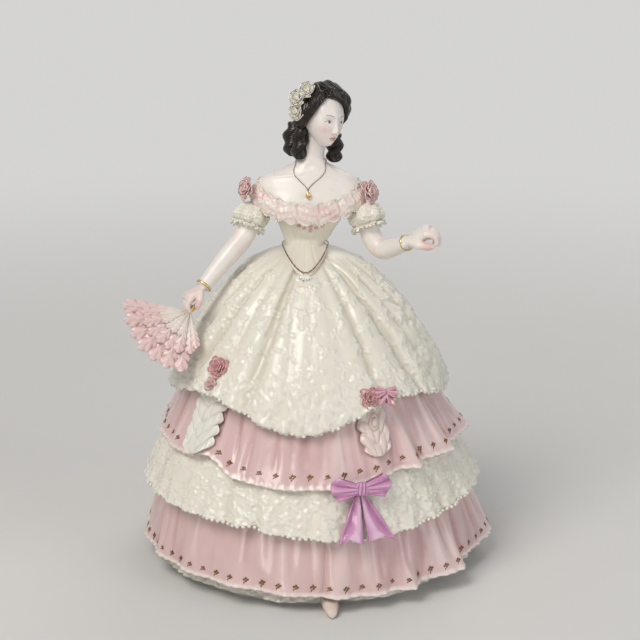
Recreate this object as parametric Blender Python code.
"""Bone china figurine of a lady in a tiered ball gown, holding a feather fan.

The figure faces -Y, its left side is at +X and +Z is up. The origin is the
middle of the flat underside. Angles round the skirt start at the front and
grow towards +X. Lengths are in metres.
"""

import math

import bmesh
import bpy
from mathutils import Matrix, Vector

MM = 0.001

# Slip joints: the room between two pieces that are stuck together.
GAP = 0.3 * MM
HEM_EASE = 0.9 * MM

# The skirt leans a little towards -X on its way up to the waist.
LEAN = -0.027

# Overskirt: a dome from the waist to a swagged hem.
WAIST_Z = 147.0 * MM
WAIST_HOLE = 8.0 * MM
OVERSKIRT_HEM_Z = 88.0 * MM
OVERSKIRT_RADIUS = 64.0 * MM
OVERSKIRT_WALL = 2.4 * MM
OVERSKIRT_FULLNESS = 1.6 * MM
OVERSKIRT_FOLD_WIDTH = math.radians(3.4)
SWAG_DROP = 7.0 * MM
SWAG_FRONT_DROP = 2.5 * MM
SWAG_CENTRE = math.radians(-3.0)

# Folds of the overskirt: angle at the waist and at the hem in degrees, and depth.
OVERSKIRT_FOLDS = (
    (-168.0, -172.0, 1.4 * MM),
    (-150.0, -156.0, 1.6 * MM),
    (-132.0, -140.0, 1.3 * MM),
    (-113.0, -124.0, 1.6 * MM),
    (-93.0, -108.0, 1.4 * MM),
    (-72.0, -91.0, 1.6 * MM),
    (-52.0, -74.0, 1.3 * MM),
    (-35.0, -59.0, 1.7 * MM),
    (-19.0, -44.0, 1.3 * MM),
    (-5.0, -27.0, 2.0 * MM),
    (-1.0, -10.0, 1.2 * MM),
    (4.0, 5.0, 0.9 * MM),
    (11.0, 18.0, 1.1 * MM),
    (20.0, 32.0, 1.5 * MM),
    (32.0, 52.0, 2.0 * MM),
    (46.0, 67.0, 1.4 * MM),
    (62.0, 82.0, 1.7 * MM),
    (80.0, 98.0, 1.3 * MM),
    (100.0, 114.0, 1.6 * MM),
    (120.0, 130.0, 1.3 * MM),
    (138.0, 145.0, 1.6 * MM),
    (156.0, 160.0, 1.4 * MM),
    (174.0, 174.0, 1.5 * MM),
)

# Upper pink flounce.
UPPER_TOP_Z = 92.0 * MM
UPPER_TOP_RADIUS = 56.0 * MM
UPPER_HEM_Z = 63.0 * MM
UPPER_RADIUS = 69.5 * MM
UPPER_FRONT_DROP = 7.0 * MM
UPPER_PLEAT_DEPTH = 3.9 * MM
UPPER_TUCK_ANGLE = math.radians(-41.0)
UPPER_TUCK_RISE = 5.0 * MM

# Lower tier of cream lace.
LACE_TOP_Z = 67.0 * MM
LACE_TOP_RADIUS = 63.6 * MM
LACE_HEM_Z = 40.0 * MM
LACE_RADIUS = 77.5 * MM
LACE_FRONT_DROP = 6.0 * MM
LACE_FOLDS = 36
LACE_FOLD_DEPTH = 1.6 * MM

# Bottom pink flounce, the widest tier.
BOTTOM_TOP_Z = 45.0 * MM
BOTTOM_TOP_RADIUS = 69.0 * MM
BOTTOM_HEM_Z = 10.5 * MM
BOTTOM_RADIUS = 78.8 * MM
BOTTOM_FRONT_DROP = 3.2 * MM
BOTTOM_PLEAT_DEPTH = 5.0 * MM

# White petticoat frill under the bottom hem.
PETTICOAT_TOP_Z = 15.0 * MM
PETTICOAT_TOP_RADIUS = 71.5 * MM
PETTICOAT_HEM_Z = 5.0 * MM
PETTICOAT_FRONT_DROP = 2.0 * MM
PETTICOAT_RADIUS = 74.5 * MM
PETTICOAT_SCALLOPS = 18
PETTICOAT_DEPTH = 1.0 * MM

TIER_WALL = 2.2 * MM

# Pleats of the pink flounces: angle of each valley and of the crest after it, in degrees.
UPPER_PLEATS = (
    (-180.0, -171.0),
    (-162.0, -153.0),
    (-144.0, -135.0),
    (-126.0, -117.0),
    (-108.0, -99.0),
    (-90.0, -81.0),
    (-72.0, -63.0),
    (-54.0, -45.0),
    (-36.0, -27.0),
    (-18.0, -9.0),
    (0.0, 9.0),
    (17.0, 25.0),
    (33.0, 41.0),
    (46.0, 60.0),
    (66.0, 88.0),
    (98.0, 110.0),
    (120.0, 132.0),
    (142.0, 152.0),
    (162.0, 171.0),
)
BOTTOM_PLEATS = (
    (-180.0, -171.0),
    (-162.0, -153.0),
    (-144.0, -135.0),
    (-126.0, -117.0),
    (-108.0, -99.0),
    (-90.0, -81.0),
    (-72.0, -63.0),
    (-54.0, -45.0),
    (-36.0, -27.0),
    (-18.0, -9.0),
    (0.0, 8.0),
    (15.0, 22.0),
    (27.0, 33.0),
    (38.0, 54.0),
    (60.0, 88.0),
    (97.0, 110.0),
    (120.0, 132.0),
    (142.0, 152.0),
    (162.0, 171.0),
)

# Hollow skirt core that carries every tier.
CORE_WALL = 3.2 * MM
CORE_FLOOR = 4.0 * MM
CORE_FOOT_BEVEL = 1.2 * MM
CORE_NECK = 6.9 * MM
POUR_HOLE_RADIUS = 5.0 * MM
POUR_HOLE_AT = (26.0 * MM, 20.0 * MM)

# Bodice with its pointed front, and the shoulders above it.
BODICE_POINT = 28.0 * MM
BODICE_EDGE = 10.6 * MM
BODICE_SIDE = 10.6 * MM
BODICE_ROUNDING = 1.85
BODICE_FLANGE = 1.1 * MM
BODICE_SEAT = 2.3 * GAP
BODICE_TOP_Z = 165.6 * MM
SPIGOT_RADIUS = 6.5 * MM
SPIGOT_DEPTH = 9.0 * MM
NECK_RADIUS = 4.9 * MM
CORD_RADIUS = 0.5 * MM
CORD_LIFT = 1.5
NECKLACE_RADIUS = 0.4 * MM
NECKLACE_BACK_Z = 188.6 * MM
NECKLACE_FRONT_Z = 176.4 * MM
PENDANT_RADIUS = 1.3 * MM
BERTHA_DEPTH = 1.9 * MM
BERTHA_HALF_HEIGHT = 4.6 * MM
BERTHA_Z = 166.2 * MM
BERTHA_SIDE_RISE = 8.6 * MM
BERTHA_RUCHES = 16

# Arms, sleeves and hands.
SLEEVE_RADIUS = 8.7 * MM
SLEEVE_LOBES = 7
CUFF_RADIUS = 7.6 * MM
CUFF_THICKNESS = 1.1 * MM
CUFF_DROOP = 1.3 * MM
CUFF_WAVES = 8
CUFF_WAVE_HEIGHT = 0.5 * MM
ARM_TOP_RADIUS = 4.7 * MM
WRIST_RADIUS = 3.0 * MM
ARM_FULLNESS = 0.5 * MM
BRACELET_HALF_WIDTH = 0.65 * MM
BRACELET_HALF_DEPTH = 0.4 * MM
HAND_GRAIN = 0.5 * MM
HAND_SHARE = 0.06

# Head and hair.
HEAD_CENTRE = Vector((3.9, -3.8, 208.6)) * MM
HEAD_YAW = math.radians(39.0)
HEAD_ROLL = math.radians(11.0)
HEAD_NOD = math.radians(-3.0)
HEAD_HALF_WIDTH = 9.1 * MM
HEAD_FRONT = 10.1 * MM
HEAD_BACK = 10.6 * MM
HEAD_HALF_HEIGHT = 12.3 * MM
NOSE_HEIGHT = 1.9 * MM
HAIR_DEPTH = 3.5 * MM
HAIR_WAVE = 0.45 * MM
HAIR_SEAT = 2.0 * GAP
HAIR_PARTING = -0.45
NECK_TOP = Vector((1.7, -1.6, 200.6)) * MM
BLOSSOM_RADIUS = 4.1 * MM
BLOSSOM_HEIGHT = 2.0 * MM
RINGLET_RADIUS = 3.1 * MM
RINGLET_TURNS = 2.5

# Fan, flowers, bow and shoe.
FAN_PIVOT = Vector((-56.2, -22.2, 123.4)) * MM
FAN_TO_SIDE = Vector((-1.0, -0.02, 0.2))
FAN_TO_FOOT = Vector((-0.13, -0.5, -0.86))
FAN_SPREAD = math.radians(98.0)
FAN_PLUMES = 7
FAN_RADIUS = 32.5 * MM
FAN_ROOT = 5.0 * MM
FAN_THICKNESS = 2.6 * MM
FAN_TIP_CURL = 3.0 * MM
FAN_PLUME_RISE = 0.9 * MM
FAN_HANDLE_LENGTH = 8.6 * MM
ROSE_RADIUS = 4.9 * MM
ROSE_HEIGHT = 4.4 * MM
SHOULDER_ROSE_RADIUS = 4.6 * MM
SHOULDER_ROSE_ANGLE = math.radians(76.0)
ROSEBUD_RADIUS = 2.6 * MM
RIBBON_KNOT_RADIUS = 3.4 * MM
SKIRT_ROSE_ANGLES = (math.radians(-43.5), math.radians(25.5))
SKIRT_ROSE_HEIGHTS = (102.0 * MM, 93.0 * MM)
BOW_ANGLE = math.radians(17.0)
BOW_Z = 57.0 * MM
BOW_KNOT = 2.6 * MM
BOW_LOOP_LENGTH = 12.5 * MM
BOW_LOOP_HEIGHT = 10.5 * MM
BOW_LOOP_DEPTH = 4.0 * MM
BOW_TAIL_LENGTH = 23.0 * MM
BOW_TAIL_SPLAY = (11.5 * MM, 13.5 * MM)
BOW_TAIL_FOLD = 0.8 * MM
BOW_TAIL_NOTCH = 2.0 * MM
BOW_TAIL_THICKNESS = 1.6 * MM
# Name, middle angle, half angle and length of the two falls of lace.
LACE_FALLS = (
    ("right_lace_fall", math.radians(-48.0), math.radians(10.0), 0.88),
    ("left_lace_fall", math.radians(27.5), math.radians(8.5), 0.66),
)
LACE_FALL_DROP = 1.6 * MM
LACE_FALL_SEAT = 3.0 * GAP
LACE_FALL_THICKNESS = 1.6 * MM
LACE_FALL_PUFF = 1.2 * MM
LACE_FALL_PUFFS = 3
SHOE_ANGLE = math.radians(5.5)
SHOE_LENGTH = 15.5 * MM
SHOE_HALF_WIDTH = 3.8 * MM
SHOE_HEIGHT = 6.0 * MM
SHOE_FLOOR = 0.6 * MM

# Glazes: base colour, roughness and metallic value.
GLAZES = {
    "cream_glaze": ((0.86, 0.82, 0.72), 0.16, 0.0),
    "pink_glaze": ((0.84, 0.56, 0.58), 0.16, 0.0),
    "rose_glaze": ((0.74, 0.30, 0.38), 0.18, 0.0),
    "mauve_glaze": ((0.58, 0.24, 0.46), 0.18, 0.0),
    "white_glaze": ((0.90, 0.89, 0.86), 0.16, 0.0),
    "flesh_glaze": ((0.88, 0.78, 0.73), 0.20, 0.0),
    "hair_glaze": ((0.035, 0.018, 0.010), 0.15, 0.0),
    "gilding": ((0.80, 0.55, 0.20), 0.25, 1.0),
}


def clear_scene():
    for old in list(bpy.data.objects):
        bpy.data.objects.remove(old, do_unlink=True)


def make_glaze(name):
    colour, roughness, metallic = GLAZES[name]
    glaze = bpy.data.materials.new(name)
    glaze.use_nodes = True
    shader = glaze.node_tree.nodes["Principled BSDF"]
    shader.inputs["Base Color"].default_value = (*colour, 1.0)
    shader.inputs["Roughness"].default_value = roughness
    shader.inputs["Metallic"].default_value = metallic
    return glaze


def add_solid(name, points, faces, glaze):
    """Adds one closed body, its faces turned outwards and shaded smooth."""
    mesh = bpy.data.meshes.new(name)
    mesh.from_pydata([tuple(point) for point in points], [], faces)
    shaper = bmesh.new()
    shaper.from_mesh(mesh)
    bmesh.ops.recalc_face_normals(shaper, faces=shaper.faces)
    shaper.to_mesh(mesh)
    shaper.free()
    mesh.shade_smooth()
    mesh.materials.append(bpy.data.materials[glaze])
    solid = bpy.data.objects.new(name, mesh)
    bpy.context.collection.objects.link(solid)
    return solid


def loft_parts(rings, looped=False):
    """Points and faces through rings of equal length: capped, or joined end to start."""
    count = len(rings[0])
    points = [point for ring in rings for point in ring]
    faces = []
    spans = len(rings) if looped else len(rings) - 1
    for row in range(spans):
        here = row * count
        after = ((row + 1) % len(rings)) * count
        for step in range(count):
            following = (step + 1) % count
            faces.append((here + step, here + following, after + following, after + step))
    if not looped:
        for ring, start in ((rings[0], 0), (rings[-1], (len(rings) - 1) * count)):
            points.append(sum((Vector(point) for point in ring), Vector()) / count)
            for step in range(count):
                faces.append((start + step, start + (step + 1) % count, len(points) - 1))
    return points, faces


def loft(name, rings, glaze, looped=False):
    points, faces = loft_parts(rings, looped)
    return add_solid(name, points, faces, glaze)


def join_bodies(bodies):
    """Puts several lists of points and faces into one list."""
    points = []
    faces = []
    for body_points, body_faces in bodies:
        start = len(points)
        points.extend(body_points)
        faces.extend(tuple(start + corner for corner in face) for face in body_faces)
    return points, faces


def blend(first, second, share):
    return first + (second - first) * share


def ramp(value, start, end):
    """Smooth step from 0 at start to 1 at end."""
    share = min(1.0, max(0.0, (value - start) / (end - start)))
    return share * share * (3.0 - 2.0 * share)


def bump(angle, centre, width):
    """Bell curve round the skirt, 1 at its centre."""
    away = math.remainder(angle - centre, math.tau)
    return math.exp(-((away / width) ** 2))


def turns(count):
    return [math.tau * step / count for step in range(count)]


def around(angle, radius, z):
    """Point round the leaning axis of the skirt."""
    return Vector((LEAN * z + radius * math.sin(angle), -radius * math.cos(angle), z))


def curve_points(knots, steps):
    """Smooth path through the knots, with the same number of steps in each span."""
    padded = [2 * knots[0] - knots[1], *knots, 2 * knots[-1] - knots[-2]]
    path = []
    for span in range(len(knots) - 1):
        before, start, end, after = padded[span : span + 4]
        for step in range(steps):
            u = step / steps
            path.append(
                0.5
                * (
                    2 * start
                    + (end - before) * u
                    + (2 * before - 5 * start + 4 * end - after) * u * u
                    + (3 * start - before - 3 * end + after) * u * u * u
                )
            )
    path.append(knots[-1].copy())
    return path


def path_frames(path, first_side, looped=False):
    """A side and an up direction, square to the path, at each of its points."""
    frames = []
    side = first_side.copy()
    for place, point in enumerate(path):
        ahead = path[(place + 1) % len(path)] if looped else path[min(place + 1, len(path) - 1)]
        behind = path[place - 1] if looped else path[max(place - 1, 0)]
        along = (ahead - behind).normalized()
        side = (side - along * side.dot(along)).normalized()
        frames.append((point, side, along.cross(side)))
    return frames


def tube_rings(path, radii, sides, first_side, flat=1.0, lobes=0, lobe_depth=0.0, twist=0.0, looped=False):
    """Rings square to a path: round, flattened, lobed or twisted like a curl."""
    rings = []
    for place, (point, side, up) in enumerate(path_frames(path, first_side, looped)):
        turn = twist * math.tau * place / (len(path) - 1)
        ring = []
        for angle in turns(sides):
            radius = radii[place] * (1.0 + lobe_depth * math.cos(lobes * (angle - turn)))
            ring.append(point + side * radius * math.cos(angle) + up * radius * flat * math.sin(angle))
        rings.append(ring)
    return rings


def frame_at(origin, side, outward):
    """Placing matrix: local X along the side, local Z outward."""
    z_axis = outward.normalized()
    x_axis = (side - z_axis * side.dot(z_axis)).normalized()
    y_axis = z_axis.cross(x_axis)
    axes = Matrix((x_axis, y_axis, z_axis)).transposed().to_4x4()
    return Matrix.Translation(origin) @ axes


# Skirt tiers


class Tier:
    """A flounce: a thin wall that flares from a seat on the core down to a pleated hem."""

    def __init__(self, top_z, top_radius, flare, pleats, depth, wall, hem_z, hem_radius, under=None):
        self.top_z = top_z
        self.top_radius = top_radius
        self.flare = flare
        self.pleats = pleats
        self.depth = depth
        self.wall = wall
        self.hem_z = hem_z
        self.hem_radius = hem_radius
        self.under = under

    def pleat(self, angle):
        """Rises from 0 in a valley to 1 on a crest and falls back to the next valley."""
        for (valley, crest), after in zip(self.pleats, self.pleats[1:] + self.pleats[:1]):
            rise = math.radians(crest - valley)
            fall = math.radians((after[0] - crest) % 360.0)
            past = (angle - math.radians(valley) + 1e-9) % math.tau
            if past < rise:
                return past / rise
            if past < rise + fall:
                return 1.0 - (past - rise) / fall
        return 0.0

    def columns(self, steps):
        """Angles of the columns of points: steps up each pleat and as many down."""
        angles = []
        for (valley, crest), after in zip(self.pleats, self.pleats[1:] + self.pleats[:1]):
            fall = (after[0] - crest) % 360.0
            angles += [math.radians(valley + (crest - valley) * step / steps) for step in range(steps)]
            angles += [math.radians(crest + fall * step / steps) for step in range(steps)]
        return angles

    def share_at(self, angle, z):
        share = (self.top_z - z) / (self.top_z - self.hem_z(angle))
        return min(1.0, max(0.0, share))

    def knee(self, angle):
        """Place down the wall where the top edge of the tier underneath is passed."""
        if self.under is None:
            return 0.5
        return self.share_at(angle, self.under.top_z + HEM_EASE)

    def plain_radius(self, angle, share):
        return blend(self.top_radius, self.hem_radius(angle), share**self.flare)

    def ease(self, angle, share):
        """Extra width that carries the wall clear of the tier underneath."""
        if self.under is None:
            return 0.0
        knee = self.knee(angle)
        needed = self.under.top_radius + self.wall + GAP
        short = max(0.0, needed - self.plain_radius(angle, knee))
        return short * (share / knee if share < knee else (1.0 - share) / (1.0 - knee))

    def radius(self, angle, share):
        base = self.plain_radius(angle, share) + self.ease(angle, share)
        return base + self.depth(angle) * share * share * self.pleat(angle)

    def height(self, angle, share):
        return blend(self.top_z, self.hem_z(angle), share)

    def radius_at(self, angle, z):
        return self.radius(angle, self.share_at(angle, z))

    def outer(self, angle, share, proud=0.0):
        return around(angle, self.radius(angle, share) + proud, self.height(angle, share))

    def seat_radius(self):
        return self.top_radius - self.wall - GAP

    def rings(self, steps):
        """Rows down the outside and back up the lining, one of each at the knee."""
        outside = []
        lining = []
        for angle in self.columns(steps):
            knee = self.knee(angle)
            shares = (0.0, 0.55 * knee, knee, blend(knee, 1.0, 0.55), 1.0)
            outside.append([self.outer(angle, share) for share in shares])
            lining.append([self.outer(angle, share, -self.wall) for share in (1.0, knee, 0.0)])
        rows = [list(row) for row in zip(*outside)]
        return rows + [list(row) for row in zip(*lining)]


def even_pleats(count):
    """Table of pleats that are all alike."""
    return tuple((360.0 * step / count, 360.0 * (step + 0.5) / count) for step in range(count))


def left_weight(angle):
    """1 where the flounces are pleated most deeply, on the figure's left side."""
    return 0.42 + 0.58 * bump(angle, math.radians(75.0), math.radians(48.0))


def petticoat_hem_z(angle):
    """Low in front, but lifted over the toe of the shoe."""
    dip = PETTICOAT_FRONT_DROP * bump(angle, SHOE_ANGLE, math.radians(24.0))
    lift = (SHOE_HEIGHT + 0.5 * MM) * bump(angle, SHOE_ANGLE, math.radians(5.5))
    return PETTICOAT_HEM_Z - dip + lift


def bottom_hem_z(angle):
    return BOTTOM_HEM_Z - BOTTOM_FRONT_DROP * bump(angle, math.radians(20.0), math.radians(32.0))


def lace_hem_z(angle):
    return LACE_HEM_Z - LACE_FRONT_DROP * bump(angle, math.radians(16.0), math.radians(34.0))


def upper_hem_z(angle):
    dip = UPPER_FRONT_DROP * bump(angle, SWAG_CENTRE, math.radians(38.0))
    tuck = UPPER_TUCK_RISE * bump(angle, UPPER_TUCK_ANGLE, math.radians(7.0))
    return UPPER_HEM_Z - dip + tuck


def overskirt_hem_z(angle):
    away = angle - SWAG_CENTRE
    front = max(0.0, math.cos(away))
    swag = SWAG_DROP * (0.35 + 0.65 * front) * math.cos(4.0 * away)
    return OVERSKIRT_HEM_Z - SWAG_FRONT_DROP * front - swag


def hem_over(tier, hem_z, nominal):
    """Hem radius that keeps a flounce clear of the tier it hangs over."""

    def radius(angle):
        return max(nominal, tier.radius_at(angle, hem_z(angle)) + TIER_WALL + HEM_EASE)

    return radius


PETTICOAT = Tier(
    PETTICOAT_TOP_Z,
    PETTICOAT_TOP_RADIUS,
    1.0,
    even_pleats(PETTICOAT_SCALLOPS),
    lambda angle: PETTICOAT_DEPTH,
    TIER_WALL,
    petticoat_hem_z,
    lambda angle: PETTICOAT_RADIUS,
)
BOTTOM = Tier(
    BOTTOM_TOP_Z,
    BOTTOM_TOP_RADIUS,
    0.9,
    BOTTOM_PLEATS,
    lambda angle: BOTTOM_PLEAT_DEPTH * left_weight(angle),
    TIER_WALL,
    bottom_hem_z,
    hem_over(PETTICOAT, bottom_hem_z, BOTTOM_RADIUS),
    PETTICOAT,
)
LACE = Tier(
    LACE_TOP_Z,
    LACE_TOP_RADIUS,
    0.85,
    even_pleats(LACE_FOLDS),
    lambda angle: LACE_FOLD_DEPTH,
    TIER_WALL,
    lace_hem_z,
    hem_over(BOTTOM, lace_hem_z, LACE_RADIUS),
    BOTTOM,
)
UPPER = Tier(
    UPPER_TOP_Z,
    UPPER_TOP_RADIUS,
    1.25,
    UPPER_PLEATS,
    lambda angle: UPPER_PLEAT_DEPTH * left_weight(angle),
    TIER_WALL,
    upper_hem_z,
    hem_over(LACE, upper_hem_z, UPPER_RADIUS),
    LACE,
)
OVERSKIRT_HEM_RADIUS = hem_over(UPPER, overskirt_hem_z, OVERSKIRT_RADIUS)

# Levels on the dome where the overskirt's lining rests on the core.
DOME_SEATS = (0.04, 0.14, 0.33, 0.6)


def dome(share, inset=0.0):
    """Radius and height on the overskirt's plain profile, set in along its normal."""
    reach = OVERSKIRT_RADIUS - WAIST_HOLE
    drop = WAIST_Z - OVERSKIRT_HEM_Z
    root = math.sqrt(max(share, 0.0004))
    normal = Vector((drop, reach / (2.0 * root))).normalized()
    radius = WAIST_HOLE + reach * math.sqrt(share) - inset * normal.x
    return max(radius, WAIST_HOLE), WAIST_Z - drop * share - inset * normal.y


def dome_height(radius):
    reach = OVERSKIRT_RADIUS - WAIST_HOLE
    share = max(0.0, (radius - WAIST_HOLE) / reach) ** 2
    return WAIST_Z - (WAIST_Z - OVERSKIRT_HEM_Z) * share


def overskirt_ease(share):
    """Extra width low on the overskirt that carries it clear of the upper flounce's top edge."""
    knee = (WAIST_Z - UPPER_TOP_Z) / (WAIST_Z - OVERSKIRT_HEM_Z)
    needed = UPPER_TOP_RADIUS + OVERSKIRT_WALL + HEM_EASE
    return max(0.0, needed - dome(knee)[0]) * ramp(share, DOME_SEATS[-1], knee)


def fold_angle(fold, share):
    """Angle of a fold at a level: folds fan out on their way down from the waist."""
    at_waist, at_hem = fold[:2]
    return math.radians(blend(at_waist, at_hem, math.sqrt(share)))


def overskirt_fold(angle, share):
    """Depth of the folds, which start below the waist and soften towards the hem."""
    strength = ramp(math.sqrt(share), 0.1, 0.4) * (1.0 - 0.45 * ramp(math.sqrt(share), 0.75, 1.0))
    total = 0.0
    for fold in OVERSKIRT_FOLDS:
        total += fold[2] * bump(angle, fold_angle(fold, share), OVERSKIRT_FOLD_WIDTH)
    return strength * total


def overskirt_point(angle, share, inset=0.0):
    radius, z = dome(share, inset)
    hem_share = share**6
    radius += (OVERSKIRT_HEM_RADIUS(angle) - OVERSKIRT_RADIUS) * hem_share
    radius += overskirt_ease(share) * (1.0 - hem_share)
    if inset == 0.0:
        radius += OVERSKIRT_FULLNESS * share * (1.0 - 0.4 * share) - overskirt_fold(angle, share)
    z += (overskirt_hem_z(angle) - OVERSKIRT_HEM_Z) * hem_share
    return around(angle, radius, z)


def overskirt_angles(share):
    """Four angles for each fold at a level: its bottom, both sides and the crest after it."""
    angles = []
    for here, after in zip(OVERSKIRT_FOLDS, OVERSKIRT_FOLDS[1:] + OVERSKIRT_FOLDS[:1]):
        bottom = fold_angle(here, share)
        room = (fold_angle(after, share) - bottom) % math.tau
        side = min(1.2 * OVERSKIRT_FOLD_WIDTH, 0.3 * room)
        angles += [bottom, bottom + side, bottom + 0.5 * room, bottom + room - side]
    return angles


def build_overskirt():
    outer_shares = (0.0, 0.03, 0.13, 0.36, 0.66, 0.88, 1.0)
    inner_shares = (1.0, 0.85, *reversed(DOME_SEATS), 0.0)
    rows = [[overskirt_point(angle, share) for angle in overskirt_angles(share)] for share in outer_shares]
    rows += [
        [overskirt_point(angle, share, OVERSKIRT_WALL) for angle in overskirt_angles(share)]
        for share in inner_shares
    ]
    loft("overskirt", rows, "cream_glaze", looped=True)


def build_flounces():
    loft("upper_flounce", UPPER.rings(2), "pink_glaze", looped=True)
    loft("lower_lace_tier", LACE.rings(1), "cream_glaze", looped=True)
    loft("bottom_flounce", BOTTOM.rings(2), "pink_glaze", looped=True)
    loft("petticoat_frill", PETTICOAT.rings(2), "white_glaze", looped=True)


def core_outline(inset, plain=False):
    """Outline of the core from the lowest seat up to the neck; its lining is plainer."""
    tiers = (PETTICOAT, BOTTOM, LACE, UPPER)
    outline = []
    for lower, higher in zip(tiers, tiers[1:]):
        outline.append((lower.seat_radius() - inset, lower.top_z))
        middle = blend(higher.seat_radius(), lower.seat_radius(), 0.3)
        if not plain:
            outline.append((middle - inset, blend(higher.top_z, lower.top_z, 0.5)))
    outline.append((UPPER.seat_radius() - inset, UPPER.top_z))
    for share in reversed(DOME_SEATS[1:] if plain else DOME_SEATS):
        outline.append(dome(share, OVERSKIRT_WALL + 1.4 * GAP + inset))
    return outline


def build_core():
    count = 24
    foot_radius = PETTICOAT.seat_radius()
    outside = [(foot_radius - CORE_FOOT_BEVEL, 0.0), (foot_radius, CORE_FOOT_BEVEL)]
    outside += core_outline(0.0)
    top_z = dome(DOME_SEATS[0], OVERSKIRT_WALL + 1.4 * GAP)[1] + 1.0 * MM
    neck = [(CORE_NECK, top_z), (CORE_NECK, top_z - 2.0 * CORE_WALL)]
    inside = list(reversed(core_outline(CORE_WALL, plain=True)))
    inside.append((foot_radius - CORE_WALL, CORE_FLOOR))
    rings = [
        [around(angle, radius, z) for angle in turns(count)]
        for radius, z in outside + neck + inside
    ]
    core = loft("skirt_core", rings, "white_glaze")
    hole_rings = [
        [
            Vector((
                POUR_HOLE_AT[0] + POUR_HOLE_RADIUS * math.cos(angle),
                POUR_HOLE_AT[1] + POUR_HOLE_RADIUS * math.sin(angle),
                z,
            ))
            for angle in turns(20)
        ]
        for z in (-CORE_FLOOR, 2.0 * CORE_FLOOR)
    ]
    cut_away(core, loft("pour_hole_cutter", hole_rings, "white_glaze"))


# Torso

# Height, middle, half width, depth to the front and depth to the back.
BODICE_ROWS = (
    (149.4, -4.0, 9.0, 7.8, 7.4),
    (152.5, -3.6, 10.6, 8.9, 8.2),
    (156.0, -3.1, 12.0, 10.2, 8.8),
    (160.0, -2.6, 14.4, 11.6, 9.4),
    (163.0, -2.4, 15.4, 12.2, 9.7),
)
SHOULDER_ROWS = (
    (165.9, -2.6, 16.4, 12.6, 10.0),
    (168.6, -2.6, 18.8, 12.6, 10.2),
    (171.4, -2.6, 21.8, 12.4, 10.2),
    (174.4, -2.6, 24.0, 11.2, 10.1),
    (177.4, -2.7, 23.8, 9.9, 9.5),
    (180.0, -2.7, 22.0, 8.8, 8.7),
    (182.6, -2.4, 18.2, 7.7, 7.8),
    (184.8, -2.0, 12.8, 6.9, 7.0),
    (187.0, -1.6, 8.0, 6.0, 6.2),
    (189.6, -1.1, 5.7, 5.3, 5.4),
    (193.5, -0.2, 5.0, 5.0, 5.0),
)


def torso_row(rows, z):
    """Interpolated middle, half width and depths, in metres, at a height."""
    level = z / MM
    if level <= rows[0][0]:
        return [value * MM for value in rows[0][1:]]
    for low, high in zip(rows, rows[1:]):
        if level <= high[0]:
            share = (level - low[0]) / (high[0] - low[0])
            return [blend(a, b, share) * MM for a, b in zip(low[1:], high[1:])]
    return [value * MM for value in rows[-1][1:]]


def torso_point(rows, angle, z, proud=0.0):
    middle, half_width, front, back = torso_row(rows, z)
    depth = front if math.cos(angle) > 0.0 else back
    x = middle + (half_width + proud) * math.sin(angle)
    return Vector((x, -(depth + proud) * math.cos(angle), z))


def bodice_reach(angle):
    """How far the bodice edge reaches over the skirt: a point in front."""
    forward = math.cos(angle)
    if forward <= 0.0:
        return BODICE_EDGE
    sideways = (abs(math.sin(angle)) / BODICE_SIDE) ** BODICE_ROUNDING
    ahead = (forward / BODICE_POINT) ** BODICE_ROUNDING
    return max(BODICE_EDGE, (sideways + ahead) ** (-1.0 / BODICE_ROUNDING))


def bodice_edge(angle, share, rise):
    """Point on the bodice point that lies over the dome of the skirt."""
    radius = blend(SPIGOT_RADIUS + 2.0 * MM, bodice_reach(angle), share)
    return around(angle, radius, dome_height(radius) + BODICE_SEAT + rise)


def front_turns(count):
    """Angles all the way round, closer together in front."""
    return [angle - 0.55 * math.sin(angle) for angle in turns(count)]


def build_torso():
    angles = front_turns(26)
    seat_z = WAIST_Z + BODICE_SEAT
    rings = [
        [around(angle, SPIGOT_RADIUS, seat_z - SPIGOT_DEPTH) for angle in angles],
        [around(angle, SPIGOT_RADIUS, seat_z) for angle in angles],
        [bodice_edge(angle, 0.35, 0.0) for angle in angles],
        [bodice_edge(angle, 0.7, 0.0) for angle in angles],
        [bodice_edge(angle, 1.0, 0.0) for angle in angles],
        [bodice_edge(angle, 1.0, BODICE_FLANGE) for angle in angles],
        [bodice_edge(angle, 0.6, BODICE_FLANGE * 1.2) for angle in angles],
    ]
    levels = [row[0] * MM for row in BODICE_ROWS] + [BODICE_TOP_Z]
    rings += [[torso_point(BODICE_ROWS, angle, z) for angle in angles] for z in levels]
    loft("bodice", rings, "cream_glaze")

    neck_end = [
        NECK_TOP + Vector((math.sin(angle), -math.cos(angle), 0.0)) * NECK_RADIUS for angle in angles
    ]
    levels = [row[0] * MM for row in SHOULDER_ROWS]
    rings = [[torso_point(SHOULDER_ROWS, angle, z) for angle in angles] for z in levels]
    rings.append(neck_end)
    loft("shoulders", rings, "flesh_glaze")


def bertha_z(angle):
    """Middle height of the neckline band: lowest in front, rising to the shoulders."""
    return BERTHA_Z + BERTHA_SIDE_RISE * (1.0 - max(0.0, math.cos(angle)) ** 1.5)


def bertha_point(angle, depth, height):
    """Point of the band, at a depth from its lining and a height from its middle."""
    half_width = max(row[2] for row in SHOULDER_ROWS) * MM
    front = max(row[3] for row in SHOULDER_ROWS) * MM
    back = max(row[4] for row in SHOULDER_ROWS) * MM
    reach = front if math.cos(angle) > 0.0 else back
    proud = GAP + depth
    x = torso_row(SHOULDER_ROWS, BERTHA_Z)[0] + (half_width + proud) * math.sin(angle)
    return Vector((x, -(reach + proud) * math.cos(angle), bertha_z(angle) + height))


# Section of the neckline band: depth, height and ruching, each as a share.
BERTHA_SECTION = (
    (0.0, -1.0, 0.0),
    (0.0, 1.0, 0.0),
    (0.7, 1.1, 0.5),
    (1.0, 0.3, 1.0),
    (0.8, -1.05, 0.8),
)


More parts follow.
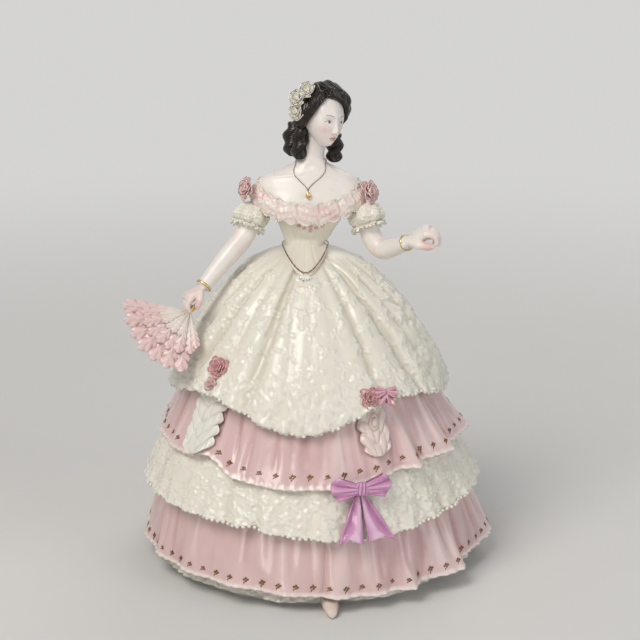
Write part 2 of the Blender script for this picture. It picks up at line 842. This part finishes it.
def bertha_rings(count):
    rings = []
    for depth, height, ruche in BERTHA_SECTION:
        ring = []
        for angle in turns(count):
            swell = 0.22 * ruche * math.cos(BERTHA_RUCHES * angle)
            ring.append(bertha_point(angle, BERTHA_DEPTH * (depth + swell), BERTHA_HALF_HEIGHT * height))
        rings.append(ring)
    return rings


def build_bertha():
    """Ruched neckline band laid round the shoulders, over the joint with the bodice."""
    loft("bertha_frill", bertha_rings(BERTHA_RUCHES * 3), "pink_glaze", looped=True)


def shoulder_normal(angle, z):
    """Outward direction on the shoulders, from the slopes round and up."""
    small = 0.2 * MM
    turn = math.radians(2.0)
    round_way = torso_point(SHOULDER_ROWS, angle + turn, z) - torso_point(SHOULDER_ROWS, angle - turn, z)
    up_way = torso_point(SHOULDER_ROWS, angle, z + small) - torso_point(SHOULDER_ROWS, angle, z - small)
    return round_way.cross(up_way).normalized()


def necklace_z(angle):
    """Height of the necklace: a V in front, level behind the neck."""
    if math.cos(angle) <= 0.0:
        return NECKLACE_BACK_Z
    return blend(NECKLACE_FRONT_Z, NECKLACE_BACK_Z, abs(math.sin(angle)) ** 0.8)


def build_necklace():
    path = []
    for angle in turns(26):
        z = necklace_z(angle)
        lift = shoulder_normal(angle, z) * (NECKLACE_RADIUS + 1.6 * GAP)
        path.append(torso_point(SHOULDER_ROWS, angle, z) + lift)
    rings = tube_rings(path, [NECKLACE_RADIUS] * len(path), 4, Vector((0.0, 0.0, 1.0)), looped=True)
    loft("necklace", rings, "gilding", looped=True)
    z = necklace_z(0.0) - NECKLACE_RADIUS - PENDANT_RADIUS - GAP
    rings = []
    for level in (-0.92, -0.55, 0.0, 0.55, 0.92):
        width = PENDANT_RADIUS * math.sqrt(1.0 - level * level)
        ring = []
        for angle in turns(8):
            y = 0.8 * width * math.sin(angle)
            ring.append(Vector((width * math.cos(angle), y, 1.15 * PENDANT_RADIUS * level)))
        rings.append(ring)
    pendant = loft("pendant", rings, "gilding")
    lift = shoulder_normal(0.0, z) * (0.9 * PENDANT_RADIUS + GAP)
    pendant.location = torso_point(SHOULDER_ROWS, 0.0, z) + lift


def build_waist_cord():
    """Gilt cord along the pointed edge of the bodice, lifted clear of its slope."""
    rise = Vector((0.0, 0.0, BODICE_FLANGE * 1.08 + CORD_LIFT * (CORD_RADIUS + GAP)))
    path = [bodice_edge(angle, 0.97, 0.0) + rise for angle in front_turns(36)]
    rings = tube_rings(path, [CORD_RADIUS] * len(path), 4, Vector((0.0, 0.0, 1.0)), looped=True)
    loft("waist_cord", rings, "gilding", looped=True)


# Sleeves, arms and hands


def millimetre_points(*places):
    return [Vector(place) * MM for place in places]


SLEEVES = {
    "right": millimetre_points((-28.4, -1.4, 166.8), (-28.8, -2.2, 162.6), (-30.8, -4.2, 157.4)),
    "left": millimetre_points((23.0, -1.4, 166.8), (23.6, -2.0, 162.4), (25.4, -3.8, 157.0)),
}
# Elbow and wrist ends of the arms, below the sleeves.
ARM_KNOTS = {
    "right": millimetre_points((-41.0, -11.0, 144.2), (-50.4, -18.0, 133.6)),
    "left": millimetre_points((31.2, -8.8, 149.0), (36.6, -15.4, 151.6), (42.0, -22.4, 155.6)),
}
# Size of the puff along the sleeve, as shares.
SLEEVE_SHAPE = ((0.0, 0.55), (0.16, 0.86), (0.5, 1.0), (0.8, 0.86), (1.0, 0.62))


def sleeve_end(side_name):
    """Middle of the sleeve's lower face and the way that the arm leaves it."""
    top, middle, end = SLEEVES[side_name]
    return end, (end - middle).normalized()


def flatten(ring, place, along):
    """Moves a ring's points into the plane through a place, square to a direction."""
    return [point - along * (point - place).dot(along) for point in ring]


def build_sleeve(side_name):
    """Puffed sleeve: a gathered ball with a small flat face at each end."""
    top, middle, end = SLEEVES[side_name]
    centres = []
    radii = []
    for share, size in SLEEVE_SHAPE:
        centres.append(blend(blend(top, middle, share), blend(middle, end, share), share))
        radii.append(SLEEVE_RADIUS * size)
    side = Vector((1.0, 0.0, 0.0))
    rings = tube_rings(centres, radii, SLEEVE_LOBES * 3, side, lobes=SLEEVE_LOBES, lobe_depth=0.05)
    rings[0] = flatten(rings[0], top, Vector((0.0, 0.0, 1.0)))
    rings[-1] = flatten(rings[-1], end, sleeve_end(side_name)[1])
    loft(f"{side_name}_sleeve", rings, "cream_glaze")


def build_cuff(side_name):
    """Frilled lace ring round the arm, right under the sleeve."""
    end, along = sleeve_end(side_name)
    side = Vector((1.0, 0.0, 0.0))
    side = (side - along * side.dot(along)).normalized()
    up = along.cross(side)
    start = end + along * GAP
    hole = ARM_TOP_RADIUS + 2.0 * GAP
    section = (
        (hole, 0.0, 0.0),
        (CUFF_RADIUS, CUFF_DROOP, 1.0),
        (CUFF_RADIUS, CUFF_DROOP + CUFF_THICKNESS, 1.0),
        (hole, CUFF_THICKNESS, 0.0),
    )
    rings = []
    for radius, drop, wave_share in section:
        ring = []
        for angle in turns(CUFF_WAVES * 3):
            wave = wave_share * CUFF_WAVE_HEIGHT * (1.0 + math.cos(CUFF_WAVES * angle))
            spoke = side * math.cos(angle) + up * math.sin(angle)
            ring.append(start + spoke * (radius + 0.5 * wave) + along * (drop + wave))
        rings.append(ring)
    loft(f"{side_name}_cuff", rings, "cream_glaze", looped=True)


def arm_path(side_name):
    end, along = sleeve_end(side_name)
    start = end + along * 1.4 * GAP
    return curve_points([start, start + along * 3.4 * MM, *ARM_KNOTS[side_name]], 3)


def arm_radius(share):
    swell = ARM_FULLNESS * math.sin(math.pi * share) ** 2
    return blend(ARM_TOP_RADIUS, WRIST_RADIUS, share**1.3) + swell


def build_arm(side_name):
    path = arm_path(side_name)
    radii = [arm_radius(place / (len(path) - 1)) for place in range(len(path))]
    rings = tube_rings(path, radii, 12, Vector((0.0, -1.0, 0.3)))
    rings[0] = flatten(rings[0], path[0], sleeve_end(side_name)[1])
    loft(f"{side_name}_arm", rings, "flesh_glaze")
    along = (path[-1] - path[-2]).normalized()
    set_back = 1.2 * BRACELET_HALF_WIDTH
    widening = (radii[-2] - radii[-1]) * 2.0 * set_back / (path[-1] - path[-2]).length
    middle = WRIST_RADIUS + widening + GAP + BRACELET_HALF_DEPTH
    ring_path = [Vector((middle * math.cos(angle), middle * math.sin(angle), 0.0)) for angle in turns(12)]
    flat = BRACELET_HALF_DEPTH / BRACELET_HALF_WIDTH
    sizes = [BRACELET_HALF_WIDTH] * len(ring_path)
    rings = tube_rings(ring_path, sizes, 5, Vector((0.0, 0.0, 1.0)), flat=flat, looped=True)
    bracelet = loft(f"{side_name}_bracelet", rings, "gilding", looped=True)
    bracelet.matrix_world = frame_at(path[-1] - along * set_back, Vector((0.0, 0.0, 1.0)), along)


def hand_bodies(curl):
    """Palm, four curled fingers and a thumb; the wrist is at the origin and the fingers along X."""
    across = Vector((0.0, 1.0, 0.0))
    palm_path = [Vector((x, 0.0, 0.0)) * MM for x in (0.0, 2.2, 4.6, 6.6, 8.0)]
    palm_radii = [radius * MM for radius in (2.2, 2.7, 3.4, 3.5, 2.4)]
    bodies = [loft_parts(tube_rings(palm_path, palm_radii, 12, across, flat=0.6))]
    for finger, reach in enumerate((6.2, 7.0, 6.8, 5.6)):
        offset = (finger - 1.5) * 1.75
        path = []
        for step in range(9):
            bend = curl * step / 8
            arc = reach / curl
            path.append(Vector((6.2 + arc * math.sin(bend), offset, arc * (math.cos(bend) - 1.0))) * MM)
        radii = [blend(1.15, 0.78, place / (len(path) - 1)) * MM for place in range(len(path))]
        bodies.append(loft_parts(tube_rings(path, radii, 8, across)))
    path = curve_points(millimetre_points((1.8, -2.0, -0.2), (4.4, -3.9, -2.0), (7.2, -3.6, -4.2)), 3)
    radii = [blend(1.4, 0.85, place / (len(path) - 1)) * MM for place in range(len(path))]
    bodies.append(loft_parts(tube_rings(path, radii, 8, Vector((0.0, 0.0, 1.0)))))
    return join_bodies(bodies)


# Each hand: the way from wrist to knuckles, the way its back faces, finger bend and size.
HANDS = {
    "right": (Vector((-0.8, -0.35, -0.55)), Vector((-0.45, -0.1, 0.9)), 1.9, 1.25),
    "left": (Vector((0.8, -0.25, 0.52)), Vector((-0.45, 0.0, 0.85)), 2.7, 1.45),
}


def build_hand(side_name):
    """Hand at the end of an arm, melted into one body with a flat wrist face."""
    towards, back_way, curl, size = HANDS[side_name]
    path = arm_path(side_name)
    along = (path[-1] - path[-2]).normalized()
    points, faces = hand_bodies(curl)
    x_axis = towards.normalized()
    z_axis = (back_way - x_axis * back_way.dot(x_axis)).normalized()
    y_axis = z_axis.cross(x_axis)
    if side_name == "right":
        y_axis = -y_axis
    wrist = path[-1] + along * GAP
    placed = []
    for point in points:
        spot = wrist + size * (x_axis * point.x + y_axis * point.y + z_axis * point.z)
        placed.append(spot)
    hand = add_solid(f"{side_name}_hand", placed, faces, "flesh_glaze")
    melt = hand.modifiers.new("melt", "REMESH")
    melt.mode = "VOXEL"
    melt.voxel_size = HAND_GRAIN
    trim = hand.modifiers.new("trim", "DECIMATE")
    trim.ratio = HAND_SHARE
    behind = wrist - along * WRIST_RADIUS * 4.0
    block = tube_rings([behind, wrist], [WRIST_RADIUS * 3.0] * 2, 12, Vector((0.0, 0.0, 1.0)))
    cut_away(hand, loft(f"{side_name}_wrist_cutter", block, "flesh_glaze"))
    return hand


def cut_away(solid, cutter):
    """Takes the cutter's shape out of a solid and hides the cutter."""
    cutter.hide_render = True
    cutter.display_type = "WIRE"
    cut = solid.modifiers.new(cutter.name, "BOOLEAN")
    cut.object = cutter
    cut.operation = "DIFFERENCE"


# Head and hair


def head_turn():
    yaw = Matrix.Rotation(HEAD_YAW, 4, "Z")
    roll = Matrix.Rotation(HEAD_ROLL, 4, "Y")
    nod = Matrix.Rotation(HEAD_NOD, 4, "X")
    return Matrix.Translation(HEAD_CENTRE) @ roll @ yaw @ nod


def head_point(way, proud=0.0):
    """Point of the head in a direction: an egg that narrows to the chin, with a small nose."""
    way = way.normalized()
    jaw = max(0.0, -way.z)
    x = way.x * HEAD_HALF_WIDTH * (1.0 - 0.42 * jaw**1.5)
    back = HEAD_BACK * (1.0 - 0.5 * jaw**1.2)
    y = way.y * (HEAD_FRONT if way.y < 0.0 else back) - 0.34 * HEAD_FRONT * jaw**2
    z = way.z * HEAD_HALF_HEIGHT
    if way.y < 0.0:
        level = z / HEAD_HALF_HEIGHT
        ridge = ramp(level, 0.28, -0.2) * ramp(level, -0.36, -0.24)
        nose = NOSE_HEIGHT * math.exp(-((x / (0.15 * HEAD_HALF_WIDTH)) ** 2))
        y -= nose * ridge
    point = Vector((x, y, z))
    return point + point.normalized() * proud


def build_head():
    rings = []
    for level in (-0.97, -0.86, -0.7, -0.52, -0.36, -0.24, -0.1, 0.08, 0.28, 0.55, 0.8, 0.96):
        width = math.sqrt(1.0 - level * level)
        ring = []
        for angle in turns(24):
            turn = angle - 0.42 * math.sin(angle)
            ring.append(head_point(Vector((width * math.sin(turn), -width * math.cos(turn), level))))
        rings.append(ring)
    head = loft("head", rings, "flesh_glaze")
    head.matrix_world = head_turn()
    below = NECK_TOP - Vector((1.0, 0.0, 8.0)) * MM
    above = NECK_TOP + Vector((0.0, 0.0, GAP))
    socket = NECK_RADIUS + 2.0 * GAP
    rings = [
        [point + Vector((math.sin(angle), -math.cos(angle), 0.0)) * socket for angle in turns(20)]
        for point in (below, above)
    ]
    cut_away(head, loft("neck_socket_cutter", rings, "flesh_glaze"))


HAIR_POLE = Vector((0.0, 0.72, 0.69)).normalized()
HAIR_SIDE = Vector((1.0, 0.0, 0.0))
HAIR_FACE = HAIR_SIDE.cross(HAIR_POLE)


def hair_way(turn, lean):
    """Direction at an angle from the crown behind the head; turn 0 is towards the face."""
    outward = HAIR_FACE * math.cos(turn) + HAIR_SIDE * math.sin(turn)
    return HAIR_POLE * math.cos(lean) + outward * math.sin(lean)


def hairline(turn):
    """How far from the crown the hair reaches: a peak at the parting, the temples, then the nape."""
    if math.cos(turn) < 0.0:
        return math.radians(blend(103.0, 66.0, math.cos(turn) ** 2))
    from_parting = turn - HAIR_PARTING * math.cos(turn)
    return math.radians(blend(103.0, 80.0, 1.0 - abs(math.sin(from_parting))))


def hair_depth(turn, share):
    """Depth of the hair: waved, thin at its edge, parted to one side of the front."""
    wave = HAIR_WAVE * math.sin(5.0 * math.pi * share)
    from_parting = math.remainder(turn - HAIR_PARTING, math.tau)
    parting = 0.45 * math.exp(-((from_parting / 0.16) ** 2)) * ramp(share, 0.3, 0.7)
    edge = 1.0 - 0.55 * ramp(share, 0.82, 1.0)
    return (HAIR_DEPTH * (1.0 - parting) + wave) * edge


def hair_point(turn, share, layer):
    """Point in the hair: layer 0 on its inner face and layer 1 on its outer face."""
    lean = max(0.02, hairline(turn) * share)
    return head_point(hair_way(turn, lean), HAIR_SEAT + layer * hair_depth(turn, share))


def build_hair():
    columns = 24
    outer_shares = (0.08, 0.25, 0.42, 0.58, 0.74, 0.88, 1.0)
    inner_shares = (1.0, 0.82, 0.64, 0.45, 0.26, 0.08)
    rings = [[hair_point(turn, share, 1.0) for turn in turns(columns)] for share in outer_shares]
    rings += [[hair_point(turn, share, 0.0) for turn in turns(columns)] for share in inner_shares]
    hair = loft("hair", rings, "hair_glaze")
    hair.matrix_world = head_turn()


RINGLETS = {
    "right_ringlet_front": millimetre_points((-8.6, -4.6, 203.2), (-9.3, -4.2, 197.0), (-9.2, -3.4, 190.6)),
    "right_ringlet_back": millimetre_points((-8.6, 2.4, 203.8), (-9.9, 3.0, 197.4), (-9.4, 3.8, 190.6)),
    "left_ringlet": millimetre_points((9.6, 3.2, 199.6), (9.7, 2.6, 193.4), (9.3, 1.8, 187.6)),
}


def build_ringlets():
    for name, knots in RINGLETS.items():
        path = curve_points(knots, 5)
        radii = []
        for place in range(len(path)):
            share = place / (len(path) - 1)
            radii.append(RINGLET_RADIUS * (0.62 + 0.38 * math.sin(math.pi * (0.15 + 0.75 * share))))
        twist = 0.5 * RINGLET_TURNS
        rings = tube_rings(path, radii, 9, HAIR_SIDE, lobes=2, lobe_depth=0.2, twist=twist)
        loft(name, rings, "hair_glaze")


# Flowers: reach, height and petal depth of each whorl, from the rim to the heart.
FLOWER_WHORLS = (
    (1.0, 0.0, 1.0),
    (1.0, 0.34, 1.0),
    (0.78, 0.55, 0.5),
    (0.66, 0.86, 1.0),
    (0.44, 0.62, 0.4),
    (0.34, 1.0, 0.6),
    (0.12, 0.86, 0.0),
)


def flower_rings(radius, height, petals, count, swirl):
    """Flat-backed flower: whorls of petals that step down from a raised heart."""
    rings = []
    for row, (reach, rise, petal) in enumerate(FLOWER_WHORLS):
        ring = []
        for angle in turns(count):
            lobe = 0.11 * petal * math.cos(petals * (angle - swirl * row))
            width = radius * reach * (1.0 + lobe)
            z = height * rise * (1.0 + 0.8 * lobe)
            ring.append(Vector((width * math.cos(angle), width * math.sin(angle), z)))
        rings.append(ring)
    return rings


def clear_height(centre, outward, footprint, points):
    """How far the highest point under a round footprint stands out."""
    highest = 0.0
    for point in points:
        offset = point - centre
        height = offset.dot(outward)
        if (offset - outward * height).length < footprint and height > -footprint:
            highest = max(highest, height)
    return highest


def build_blossoms():
    """Three white blossoms pinned to the hair over the right temple."""
    placed = head_turn()
    turned = placed.to_3x3()
    surface = []
    for share in (0.1, 0.2, 0.3, 0.4, 0.5, 0.6, 0.7, 0.8, 0.9, 1.0):
        surface += [placed @ hair_point(turn, share, 1.0) for turn in turns(48)]
    ways = (Vector((-0.84, -0.52, 0.64)), Vector((-0.92, -0.5, 0.12)), Vector((-0.42, -0.56, 1.03)))
    for number, way in enumerate(ways, start=1):
        inner = placed @ head_point(turned.inverted() @ way)
        outward = (inner - HEAD_CENTRE).normalized()
        rise = clear_height(inner, outward, BLOSSOM_RADIUS, surface) + GAP
        rings = flower_rings(BLOSSOM_RADIUS, BLOSSOM_HEIGHT, 5, 10, 0.3)
        blossom = loft(f"hair_blossom_{number}", rings, "white_glaze")
        blossom.matrix_world = frame_at(inner + outward * rise, Vector((0.3, -1.0, 0.2)), outward)


# Fan


def fan_axes():
    side = FAN_TO_SIDE.normalized()
    foot = (FAN_TO_FOOT - side * FAN_TO_FOOT.dot(side)).normalized()
    return side, foot, side.cross(foot)


def fan_point(turn, share, layer):
    """Point of the fan: plumes spread round the pivot, rounded and curled at their tips."""
    side, foot, face = fan_axes()
    plume = abs(math.sin(math.pi * FAN_PLUMES * turn)) ** 0.7
    length = FAN_RADIUS * (0.83 + 0.17 * plume) * (1.0 - 0.1 * turn)
    reach = blend(FAN_ROOT, length, share)
    angle = FAN_SPREAD * turn
    lift = FAN_TIP_CURL * share**3 + FAN_PLUME_RISE * plume * share
    thickness = FAN_THICKNESS * (1.0 - 0.45 * share)
    plane = side * math.cos(angle) + foot * math.sin(angle)
    return FAN_PIVOT + plane * reach + face * (lift + layer * thickness)


def fan_handle_path():
    """Short handle from the roots of the plumes up into the hand."""
    side, foot, face = fan_axes()
    middle = side * math.cos(0.5 * FAN_SPREAD) + foot * math.sin(0.5 * FAN_SPREAD)
    root = FAN_PIVOT + middle * FAN_ROOT + face * 0.5 * FAN_THICKNESS
    end = root - middle * 2.2 * GAP
    return [end - middle * FAN_HANDLE_LENGTH, end - middle * 2.0 * MM, end]


def build_fan(hand):
    columns = FAN_PLUMES * 4
    shares = (0.0, 0.4, 0.75, 1.0)
    rings = []
    for column in range(columns + 1):
        turn = column / columns
        front = [fan_point(turn, share, 1.0) for share in shares]
        back = [fan_point(turn, share, 0.0) for share in reversed(shares)]
        rings.append(front + back)
    loft("fan_plumes", rings, "pink_glaze")
    path = fan_handle_path()
    radii = [1.1 * MM, 1.2 * MM, 1.5 * MM]
    loft("fan_handle", tube_rings(path, radii, 8, Vector((0.0, -1.0, 0.0))), "gilding")
    grip_path = [blend(path[0], path[1], -0.2), path[1], blend(path[1], path[2], 1.5)]
    grip = tube_rings(grip_path, [radius + 1.5 * GAP for radius in radii], 8, Vector((0.0, -1.0, 0.0)))
    cut_away(hand, loft("grip_cutter", grip, "gilding"))


# Flowers, ribbons, lace falls and shoe


def seat_frame(surface, angle, share, footprint):
    """Frame on a skirt surface, raised until the footprint clears every fold under it."""
    small = 0.01
    centre = surface(angle, share)
    round_way = surface(angle + small, share) - surface(angle - small, share)
    down_way = surface(angle, share + small) - surface(angle, share - small)
    outward = round_way.cross(-down_way).normalized()
    turn_reach = 2.0 * small * footprint / round_way.length
    down_reach = 2.0 * small * footprint / down_way.length
    under = []
    for row in range(-4, 5):
        for column in range(-4, 5):
            under.append(surface(angle + turn_reach * column / 4, min(1.0, share + down_reach * row / 4)))
    rise = clear_height(centre, outward, 1.05 * footprint, under) + GAP
    return frame_at(centre + outward * rise, round_way, outward)


def overskirt_share(z):
    return (WAIST_Z - z) / (WAIST_Z - OVERSKIRT_HEM_Z)


def add_flower(name, frame, radius, height, petals, glaze):
    flower = loft(name, flower_rings(radius, height, petals, petals * 3, 0.55), glaze)
    flower.matrix_world = frame


def build_roses():
    for name, angle, z in zip(("right_skirt_rose", "left_skirt_rose"), SKIRT_ROSE_ANGLES, SKIRT_ROSE_HEIGHTS):
        frame = seat_frame(overskirt_point, angle, overskirt_share(z), ROSE_RADIUS)
        add_flower(name, frame, ROSE_RADIUS, ROSE_HEIGHT, 5, "rose_glaze")
    band = [point for ring in bertha_rings(BERTHA_RUCHES * 12) for point in ring]
    for name, sign in (("right_shoulder_rose", -1.0), ("left_shoulder_rose", 1.0)):
        angle = sign * SHOULDER_ROSE_ANGLE
        outward = Vector((sign, -0.75, 0.5)).normalized()
        centre = bertha_point(angle, BERTHA_DEPTH, 0.5 * BERTHA_HALF_HEIGHT)
        rise = clear_height(centre, outward, SHOULDER_ROSE_RADIUS, band) + GAP
        frame = frame_at(centre + outward * rise, Vector((0.0, 0.0, 1.0)), outward)
        add_flower(name, frame, SHOULDER_ROSE_RADIUS, ROSE_HEIGHT, 5, "rose_glaze")


def build_rose_ribbons():
    """A ribbon knot beside the left rose and a bud under the right one."""
    angle = SKIRT_ROSE_ANGLES[1] + 1.8 * ROSE_RADIUS / OVERSKIRT_RADIUS
    share = overskirt_share(SKIRT_ROSE_HEIGHTS[1] + 1.5 * MM)
    frame = seat_frame(overskirt_point, angle, share, RIBBON_KNOT_RADIUS)
    add_flower("left_ribbon_knot", frame, RIBBON_KNOT_RADIUS, 0.9 * RIBBON_KNOT_RADIUS, 3, "mauve_glaze")
    share = overskirt_share(SKIRT_ROSE_HEIGHTS[0] - 1.7 * ROSE_RADIUS)
    frame = seat_frame(overskirt_point, SKIRT_ROSE_ANGLES[0] - 0.02, share, ROSEBUD_RADIUS)
    add_flower("right_rosebud", frame, ROSEBUD_RADIUS, ROSEBUD_RADIUS, 3, "rose_glaze")


def lace_fall_share(angle, centre, half_width, length, fraction):
    """Place down the upper flounce of a lace fall's row; its lower edge is scalloped."""
    top_z = overskirt_hem_z(angle) - LACE_FALL_DROP
    top = max(0.05, (UPPER_TOP_Z - top_z) / (UPPER_TOP_Z - upper_hem_z(angle)))
    away = abs(angle - centre) / half_width
    low = length * (1.0 - 0.3 * away * away) + 0.025 * math.cos(4.0 * math.pi * away)
    return blend(top, max(low, top + 0.08), fraction)


def build_lace_falls():
    """Two falls of lace, ruched in rows, that hang from the roses over the upper flounce."""
    for name, centre, half_width, length in LACE_FALLS:
        rings = []
        for step in range(11):
            angle = centre + half_width * (step / 5 - 1.0)
            lining = []
            face = []
            last = 2 * LACE_FALL_PUFFS
            for row in range(last + 1):
                share = lace_fall_share(angle, centre, half_width, length, row / last)
                puff = LACE_FALL_PUFF * (row % 2)
                if row % 2 == 0:
                    lining.append(UPPER.outer(angle, share, LACE_FALL_SEAT))
                face.append(UPPER.outer(angle, share, LACE_FALL_SEAT + LACE_FALL_THICKNESS + puff))
            rings.append(lining + face[::-1])
        loft(name, rings, "white_glaze")


def bow_frame():
    """Frame of the bow on the hem of the upper flounce, clear of its pleats."""
    reach = BOW_LOOP_LENGTH / UPPER_RADIUS
    radius = max(UPPER.radius(BOW_ANGLE + reach * step / 8, 1.0) for step in range(-8, 9))
    outward = Vector((math.sin(BOW_ANGLE), -math.cos(BOW_ANGLE), 0.12))
    side = Vector((math.cos(BOW_ANGLE), math.sin(BOW_ANGLE), 0.0))
    return frame_at(around(BOW_ANGLE, radius + GAP, BOW_Z), side, outward)


def build_bow():
    frame = bow_frame()
    rings = []
    for level, size in ((0.0, 0.8), (0.25, 1.0), (0.7, 0.95), (1.0, 0.6)):
        ring = []
        for angle in turns(12):
            x = BOW_KNOT * size * math.cos(angle)
            y = 1.25 * BOW_KNOT * size * math.sin(angle)
            ring.append(Vector((x, y, 1.15 * BOW_LOOP_DEPTH * level)))
        rings.append(ring)
    knot = loft("bow_knot", rings, "mauve_glaze")
    knot.matrix_world = frame
    for name, sign in (("bow_loop_right", -1.0), ("bow_loop_left", 1.0)):
        loop = loft(name, bow_loop_rings(sign), "mauve_glaze")
        loop.matrix_world = frame
    build_bow_tail("bow_tail_right", -1.0, BOW_TAIL_SPLAY[0])
    build_bow_tail("bow_tail_left", 1.0, BOW_TAIL_SPLAY[1])


def bow_loop_rings(sign):
    """Puffed loop, narrow at the knot and bent to follow the flounce."""
    rings = []
    for share, size in ((0.0, 0.34), (0.2, 0.62), (0.5, 0.95), (0.8, 1.0), (0.95, 0.8), (1.0, 0.55)):
        along = BOW_KNOT + GAP + BOW_LOOP_LENGTH * share
        sag = along * along / (2.2 * UPPER_RADIUS)
        ring = []
        for angle in turns(12):
            pinch = 1.0 - 0.16 * math.cos(4.0 * angle)
            up = 0.5 * BOW_LOOP_HEIGHT * size * pinch * math.sin(angle) + 0.8 * MM * share
            out = 0.5 * BOW_LOOP_DEPTH * (0.5 + 0.5 * size) * pinch * (1.0 + math.cos(angle))
            ring.append(Vector((sign * along, up, out - sag + 0.5 * GAP)))
        rings.append(ring)
    return rings


def build_bow_tail(name, sign, splay):
    """Ribbon end that hangs from the knot over the lace tier, with a notched end."""
    start_z = BOW_Z - 1.25 * BOW_KNOT - 3.0 * GAP
    rings = []
    for step in range(7):
        share = step / 6
        z = start_z - BOW_TAIL_LENGTH * share
        inner = blend(1.2 * GAP, 0.12 * splay, share)
        outer = blend(0.85 * BOW_KNOT, splay, share**0.8)
        back = []
        front = []
        for column in range(5):
            across = column / 4
            turn = BOW_ANGLE + sign * blend(inner, outer, across) / LACE_RADIUS
            under = LACE.radius_at(turn, z) + 2.5 * GAP
            over = UPPER.radius(turn, 1.0) + 2.5 * GAP
            base = max(under, blend(over, under, ramp(share, 0.3, 0.85)))
            fold = BOW_TAIL_FOLD * math.sin(math.tau * across) ** 2 * share
            notch = BOW_TAIL_NOTCH * (1.0 - abs(2.0 * across - 1.0)) * (step == 6)
            back.append(around(turn, base + fold, z + notch))
            front.append(around(turn, base + fold + BOW_TAIL_THICKNESS, z + notch))
        rings.append(back + front[::-1])
    loft(name, rings, "mauve_glaze")


# Shoe: length, width and height of its sections, as shares.
SHOE_SECTIONS = ((0.0, 0.95, 1.0), (0.3, 1.0, 0.98), (0.6, 0.9, 0.86), (0.85, 0.66, 0.62), (1.0, 0.3, 0.34))


def build_shoe():
    """Toe of a slipper that shows in front of the petticoat."""
    heel = PETTICOAT.seat_radius() + GAP
    across_way = Vector((math.cos(SHOE_ANGLE), math.sin(SHOE_ANGLE), 0.0))
    rings = []
    for share, width, height in SHOE_SECTIONS:
        ring = []
        for angle in turns(10):
            across = across_way * SHOE_HALF_WIDTH * width * math.cos(angle)
            z = SHOE_FLOOR + 0.5 * SHOE_HEIGHT * height * (1.0 + math.sin(angle))
            ring.append(around(SHOE_ANGLE, heel + SHOE_LENGTH * share, z) + across)
        rings.append(ring)
    loft("shoe_toe", rings, "cream_glaze")


def build_figurine():
    clear_scene()
    for name in GLAZES:
        make_glaze(name)
    build_core()
    build_flounces()
    build_overskirt()
    build_torso()
    build_bertha()
    build_necklace()
    build_waist_cord()
    for side_name in ("right", "left"):
        build_sleeve(side_name)
        build_cuff(side_name)
        build_arm(side_name)
    right_hand = build_hand("right")
    build_hand("left")
    build_head()
    build_hair()
    build_ringlets()
    build_blossoms()
    build_fan(right_hand)
    build_roses()
    build_rose_ribbons()
    build_lace_falls()
    build_bow()
    build_shoe()


build_figurine()
